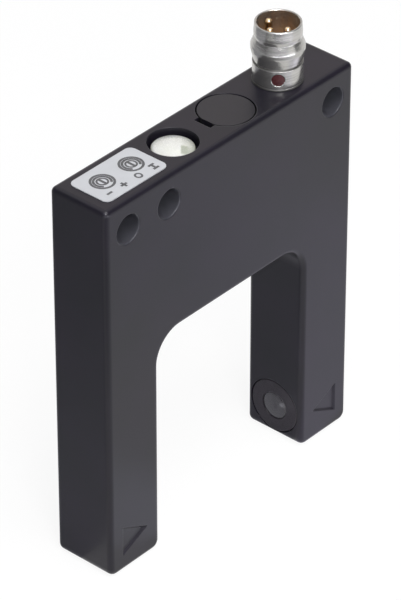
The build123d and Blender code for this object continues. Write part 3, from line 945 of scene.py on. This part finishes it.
class FORKSENSOR_OT_indicator(bpy.types.Operator):
    """Finish the milky light guide and the lamp under it"""

    bl_idname = "forksensor.indicator"
    bl_label = "Indicator"

    def execute(self, context):
        looks = context.scene.fork_sensor_indicator
        dress(milky_finish(looks), "indicator_dome")
        lamp = moulded_finish(
            "Lamp resin",
            looks.lamp,
            tone=0.85,
            roughness=0.15,
            grain=0.3 * MM,
            cloud=1.0 * MM,
            Transmission_Weight=0.5,
        )
        dress(lamp, "indicator_lamp")
        return {"FINISHED"}


def cap_finish(looks):
    """Black plastic of the cap, darker with painted shade and duller at its edge, by the gap round
    it.
    """
    middle = middle_of("adjuster_cap")
    edge = half_width("adjuster_cap")
    fully_dull_and_shaded = 0.04 * MM
    face_roughness = 0.33
    joint_roughness = 0.35
    material, tree, surface, place = start_material(
        "Cap plastic", Specular_IOR_Level=0.44
    )
    skin = place_group(tree, "Grain", place, Size=0.1 * MM, Cloud_size=3.0 * MM)
    x, y, _ = axes_of(tree, centred(tree, place, middle.x, middle.y))
    radius = off_axis(tree, x, y)
    # Painted shade: the cap's edge by the gap round it turns darker, and duller.
    painted_joint_shade = ramp(tree, radius, edge - looks.painted_joint_shade, edge - fully_dull_and_shaded)
    face = blend_colours(tree, skin["Cloud"], looks.cap, toned(looks.cap, 1.15))
    shine = grained(tree, skin["Height"], face_roughness)
    duller = maths(tree, "MULTIPLY", painted_joint_shade, joint_roughness)
    feed_by_name(
        tree,
        surface,
        Base_Color=blend_colours(tree, painted_joint_shade, face, toned(looks.cap, 0.5)),
        Roughness=maths(tree, "ADD", shine, duller),
    )
    bump(tree, surface, skin["Height"], 0.004 * MM)
    return material


class FORKSENSOR_OT_adjusters(bpy.types.Operator):
    """Finish the adjuster cap and the two trimmers under it"""

    bl_idname = "forksensor.adjusters"
    bl_label = "Adjusters"

    def execute(self, context):
        looks = context.scene.fork_sensor_adjusters
        dress(cap_finish(looks), "adjuster_cap")
        body = moulded_finish(
            "Trimmer plastic",
            looks.body,
            tone=0.92,
            roughness=0.45,
            grain=0.15 * MM,
            cloud=1.0 * MM,
        )
        for kind in ("sensitivity", "mode"):
            dress(body, f"{kind}_trimmer_body")
            middle = middle_of(f"{kind}_trimmer_rotor")
            rotor = turned_finish(
                f"Rotor metal {kind}",
                looks.rotor,
                roughness=0.3,
                pitch=0.06 * MM,
                x=middle.x,
                y=middle.y,
            )
            dress(rotor, f"{kind}_trimmer_rotor")
        return {"FINISHED"}


class FORKSENSOR_OT_optics(bpy.types.Operator):
    """Finish the light windows in the fork and the diodes behind them"""

    bl_idname = "forksensor.optics"
    bl_label = "Optics"

    def execute(self, context):
        looks = context.scene.fork_sensor_optics
        bezel = moulded_finish(
            "Bezel plastic",
            looks.bezel,
            tone=1.3,
            roughness=0.3,
            grain=0.08 * MM,
            cloud=1.2 * MM,
            rounding=0.2 * MM,
            Specular_IOR_Level=0.41,
        )
        lens = moulded_finish(
            "Lens plastic",
            looks.lens,
            tone=0.94,
            roughness=0.16,
            grain=0.4 * MM,
            cloud=2.0 * MM,
            rounding=0.9 * MM,
            Coat_Weight=0.8,
            Coat_Roughness=0.05,
        )
        resin = moulded_finish(
            "Diode resin",
            looks.resin,
            tone=0.8,
            roughness=0.12,
            grain=0.3 * MM,
            cloud=1.0 * MM,
            Transmission_Weight=0.3,
        )
        holder = moulded_finish(
            "Holder plastic",
            looks.holder,
            tone=1.3,
            roughness=0.48,
            grain=0.1 * MM,
            cloud=1.5 * MM,
        )
        for end in ("emitter", "receiver"):
            dress(bezel, f"{end}_bezel")
            dress(lens, f"{end}_lens")
            dress(resin, f"{end}_diode")
            dress(holder, f"{end}_diode_holder")
        return {"FINISHED"}


def laminate_finish(looks):
    """Coated circuit board with raised tracks."""
    material, tree, surface, place = start_material(
        "Board laminate", Coat_Weight=0.6, Coat_Roughness=0.2
    )
    skin = place_group(tree, "Grain", place, Size=0.15 * MM, Cloud_size=2.0 * MM)
    tracks_per_metre = 420.0
    tracks = node(
        tree,
        "ShaderNodeTexBrick",
        Vector=place,
        Scale=tracks_per_metre,
        Mortar_Size=0.06,
    )
    raised = tracks.outputs["Fac"]
    second = toned(looks.laminate, 0.85)
    resist = blend_colours(tree, skin["Cloud"], looks.laminate, second)
    feed_by_name(
        tree,
        surface,
        Base_Color=blend_colours(tree, raised, resist, looks.copper),
        Roughness=uneven(tree, skin["Height"], 0.35, 0.5),
    )
    bump(tree, surface, raised, 0.02 * MM)
    return material


class FORKSENSOR_OT_inside(bpy.types.Operator):
    """Finish the boards, chips, capacitors, screws and seals inside"""

    bl_idname = "forksensor.inside"
    bl_label = "Boards and seals"

    def execute(self, context):
        looks = context.scene.fork_sensor_inside
        board = laminate_finish(looks)
        dress(board, "main_board", "control_board", "connector_board")
        chip = moulded_finish(
            "Chip resin",
            looks.chip,
            tone=1.4,
            roughness=0.55,
            grain=0.05 * MM,
            cloud=1.0 * MM,
        )
        dress(chip, "controller_chip", "driver_chip")
        ceramic = moulded_finish(
            "Capacitor ceramic",
            looks.ceramic,
            tone=0.8,
            roughness=0.4,
            grain=0.05 * MM,
            cloud=0.4 * MM,
        )
        dress(ceramic, "ceramic_capacitors")
        zinc = turned_finish("Zinc plate", looks.zinc, roughness=0.32, pitch=0.08 * MM)
        dress(zinc, "board_screws")
        rubber = moulded_finish(
            "Seal rubber",
            looks.rubber,
            tone=1.5,
            roughness=0.55,
            grain=0.06 * MM,
            cloud=0.8 * MM,
            Specular_IOR_Level=0.4,
        )
        dress(rubber, "cap_o_ring", "connector_o_ring")
        dress(rubber, "emitter_bezel_seal", "receiver_bezel_seal")
        return {"FINISHED"}


def soft_lamp(name, place, target, width, height, power):
    """A flat lamp that shines at a point."""
    light = bpy.data.lights.new(name, "AREA")
    light.shape = "RECTANGLE"
    light.size = width
    light.size_y = height
    light.energy = power
    lamp = bpy.data.objects.new(name, light)
    bpy.context.scene.collection.objects.link(lamp)
    lamp.location = place
    way = Vector(target) - Vector(place)
    lamp.rotation_euler = way.to_track_quat("-Z", "Y").to_euler()


def white_rays(tree):
    """1 for what the camera, the gloss and clear pieces see of the background."""
    rays = tree.nodes.new("ShaderNodeLightPath").outputs
    direct = maths(tree, "MAXIMUM", rays["Is Camera Ray"], rays["Is Glossy Ray"])
    return maths(tree, "MAXIMUM", direct, rays["Is Transmission Ray"])


def mix_shaders(tree, share, first, second):
    """Mixes the outputs of two shader nodes."""
    made = node(tree, "ShaderNodeMixShader", Fac=share)
    feed(tree, made.inputs[1], first.outputs[0])
    feed(tree, made.inputs[2], second.outputs[0])
    return made.outputs[0]


def paper_floor(looks):
    """A wide sheet of pale paper that stays white and keeps a soft shadow."""
    material = bpy.data.materials.new("Paper")
    tree = start_nodes(material)
    full_white = 1.06
    white_share = 0.85  # the rest shows the shadow
    matt = node(tree, "ShaderNodeBsdfDiffuse", Color=looks.paper)
    white = node(tree, "ShaderNodeEmission", Strength=full_white)
    share = maths(tree, "MULTIPLY", white_rays(tree), white_share)
    paper = mix_shaders(tree, share, matt, white)
    node(tree, "ShaderNodeOutputMaterial", Surface=paper)
    bm = bmesh.new()
    just_below = Matrix.Translation((0, 0, -0.02 * MM))
    bmesh.ops.create_circle(
        bm, cap_ends=True, segments=64, radius=2.5, matrix=just_below
    )
    floor = object_of("paper_floor", bm, material)


def reflected_card(name, bm, level, tint=COOL_WHITE):
    """A card out of the picture that shows only in the gloss of the sensor."""
    material = bpy.data.materials.new(name)
    tree = start_nodes(material)
    glow = node(tree, "ShaderNodeEmission", Color=tint, Strength=level)
    node(tree, "ShaderNodeOutputMaterial", Surface=glow.outputs[0])
    card = object_of(name, bm, material)
    card.visible_camera = False
    card.visible_diffuse = False
    card.visible_transmission = False
    card.visible_shadow = False
    return tree, glow.inputs["Strength"]


def fade_round(tree, strength, first, last, middle, reach):
    """Fades a card by its bearing from the sensor, over a reach each side of the middle."""
    place = tree.nodes.new("ShaderNodeTexCoord").outputs["Object"]
    turn = (0.0, 0.0, -middle)
    turned = node(tree, "ShaderNodeMapping", Vector=place, Rotation=turn)
    x, y, _ = axes_of(tree, turned.outputs[0])
    bearing = maths(tree, "ARCTAN2", y, x)
    feed(tree, strength, ramp(tree, bearing, -reach, reach, first, last))


def floor_card(name, level, start, sweep, near, far, last=None, **tint):
    """A card on the floor, part of a ring in degrees, plain or fading to a last level."""
    bm = bmesh.new()
    centre = Vector((0, 0, CARD_LIFT))
    ring_band(bm, centre, near, far, CARD_STEPS, start, sweep)
    tree, strength = reflected_card(name, bm, level, **tint)
    if last is not None:
        middle = math.radians(start + sweep / 2)
        fade_round(tree, strength, level, last, middle, math.radians(sweep / 2))


def hung_card(name, level, way, distance, width, height, last=None, **tint):
    """A card that hangs in the air and faces the sensor, plain or fading sideways."""
    way = Vector(way)
    bm = bmesh.new()
    bar(bm, Vector(), width, height)
    turn = way.to_track_quat("-Z", "Y").to_matrix().to_4x4()
    bm.transform(Matrix.Translation(way.normalized() * distance) @ turn)
    tree, strength = reflected_card(name, bm, level, **tint)
    if last is not None:
        middle = math.atan2(way.y, way.x)
        fade_round(tree, strength, level, last, middle, math.atan(0.5 * width / distance))


def room_light(looks):
    """A plain white room that lights the sensor evenly."""
    world = bpy.data.worlds.new("Room")
    bpy.context.scene.world = world
    tree = start_nodes(world)
    seen = node(tree, "ShaderNodeBackground", Color=(1.0, 1.0, 1.0), Strength=1.0)
    fill = node(
        tree, "ShaderNodeBackground", Color=looks.room, Strength=looks.room_level
    )
    room = mix_shaders(tree, white_rays(tree), fill, seen)
    node(tree, "ShaderNodeOutputWorld", Surface=room)


def photo_camera(looks):
    data = bpy.data.cameras.new("camera")
    data.lens = looks.focal_length
    data.clip_start = 0.01
    data.clip_end = 10.0
    camera = bpy.data.objects.new("camera", data)
    bpy.context.scene.collection.objects.link(camera)
    camera.location = looks.camera_place
    camera.rotation_euler = looks.camera_turn
    bpy.context.scene.camera = camera


def lens_glint():
    """A small bright disc in the fork's gap, for the glint on the right lens."""
    bm = bmesh.new()
    centre = Vector((8.0, 2.3, 0.6)) * MM
    ring_band(bm, centre, 0.01 * MM, 1.1 * MM, steps=24)
    reflected_card("glint", bm, 1.6)


def reflected_cards(looks):
    """What the gloss reflects: bearings in degrees, ways as directions, the rest in metres."""
    floor_card("card_behind", looks.card, start=92, sweep=86, near=0.07, far=0.4)
    floor_card("card_middle", 0.52, start=92, sweep=86, near=0.052, far=0.07)
    floor_card("card_near", 0.62, start=92, sweep=86, near=0.03, far=0.052)
    floor_card("card_plain", 0.87, start=292, sweep=26, near=0.05, far=0.095)
    floor_card("card_foot", 1.35, start=205, sweep=50, near=0.008, far=0.028)
    floor_card("card_gap", looks.gap_card, start=-12, sweep=190, near=0.0001, far=0.03)
    lens_glint()
    floor_card("card_front", 0.14, start=197, sweep=25, near=0.078, far=0.26)
    floor_card("card_side", 0.14, start=222, sweep=70, near=0.078, far=0.26, last=1.0)
    violet = (0.98, 0.96, 1.1)
    floor_card("card_right", 1.25, start=318, sweep=28, near=0.014, far=0.08, tint=violet)
    right = (0.66, -0.52, 0.50)
    hung_card("flag_right", looks.flag, right, distance=0.5, width=0.5, height=0.5)
    left = (-0.72, 0.60, 0.34)
    hung_card("flag_left", looks.flag, left, distance=0.5, width=0.66, height=0.6)
    low = (-0.90, 0.42, 0.12)
    hung_card("card_horizon", looks.card, low, distance=0.35, width=0.6, height=0.12)
    near = (-0.77, -0.64, 0.34)
    hung_card("card_low", 0.25, near, distance=0.5, width=0.93, height=0.32, last=0.8)
    floor_card("glare_left", 5.0, start=200, sweep=47, near=0.262, far=0.8)
    floor_card("glare_right", 6.5, start=247, sweep=43, near=0.262, far=2.0)
    high = (-0.40, -0.66, 0.95)
    hung_card("softbox", looks.softbox, high, distance=0.8, width=1.0, height=0.6)
    front = (0.05, -1.0, 0.80)
    hung_card("flag_front", looks.flag, front, distance=0.45, width=0.24, height=0.2)
    back = (0.615, 0.54, 0.60)
    warm = (1.03, 0.96, 0.93)
    hung_card(
        "screen_back", looks.screen, back, distance=0.7, width=0.5, height=0.5, tint=warm
    )


class FORKSENSOR_OT_studio(bpy.types.Operator):
    """Set up the pale floor, the soft lamps, the room and the camera"""

    bl_idname = "forksensor.studio"
    bl_label = "Studio"

    def execute(self, context):
        looks = context.scene.fork_sensor_studio
        context.scene.view_settings.view_transform = "Standard"
        paper_floor(looks)
        room_light(looks)
        reflected_cards(looks)
        soft_lamp(
            "key_lamp",
            place=(-0.30, -0.42, 0.46),
            target=(0, 0, 0.04),
            width=0.16,
            height=0.16,
            power=looks.key_power,
        )
        soft_lamp(
            "top_lamp",
            place=(-0.05, -0.2, 0.62),
            target=(0, -0.02, 0),
            width=0.3,
            height=0.3,
            power=looks.top_power,
        )
        soft_lamp(
            "rear_lamp",
            place=(0.55, 0.50, 0.55),
            target=(0, 0, 0.05),
            width=0.6,
            height=0.5,
            power=looks.rear_power,
        )
        photo_camera(looks)
        return {"FINISHED"}


class FORKSENSOR_PT_panel(bpy.types.Panel):
    """Lists the steps that dress the sensor"""

    bl_idname = "FORKSENSOR_PT_panel"
    bl_label = "Fork Sensor"
    bl_space_type = "VIEW_3D"
    bl_region_type = "UI"
    bl_category = "Fork Sensor"

    def draw(self, context):
        for step in STEPS:
            self.layout.operator(step.bl_idname)


LOOKS = {
    "fork_sensor_housing": HousingLooks,
    "fork_sensor_label": LabelLooks,
    "fork_sensor_connector": ConnectorLooks,
    "fork_sensor_indicator": IndicatorLooks,
    "fork_sensor_adjusters": AdjusterLooks,
    "fork_sensor_optics": OpticsLooks,
    "fork_sensor_inside": InsideLooks,
    "fork_sensor_studio": StudioLooks,
}

STEPS = (
    FORKSENSOR_OT_housing,
    FORKSENSOR_OT_label,
    FORKSENSOR_OT_connector,
    FORKSENSOR_OT_indicator,
    FORKSENSOR_OT_adjusters,
    FORKSENSOR_OT_optics,
    FORKSENSOR_OT_inside,
    FORKSENSOR_OT_studio,
)


def register():
    for made in (*LOOKS.values(), *STEPS, FORKSENSOR_PT_panel):
        bpy.utils.register_class(made)
    for name, made in LOOKS.items():
        setattr(bpy.types.Scene, name, PointerProperty(type=made))


def unregister():
    for name in LOOKS:
        delattr(bpy.types.Scene, name)
    for made in reversed((*LOOKS.values(), *STEPS, FORKSENSOR_PT_panel)):
        bpy.utils.unregister_class(made)


def main():
    register()
    bpy.ops.forksensor.housing()
    bpy.ops.forksensor.label()
    bpy.ops.forksensor.connector()
    bpy.ops.forksensor.indicator()
    bpy.ops.forksensor.adjusters()
    bpy.ops.forksensor.optics()
    bpy.ops.forksensor.inside()
    bpy.ops.forksensor.studio()


if __name__ == "__main__":
    main()
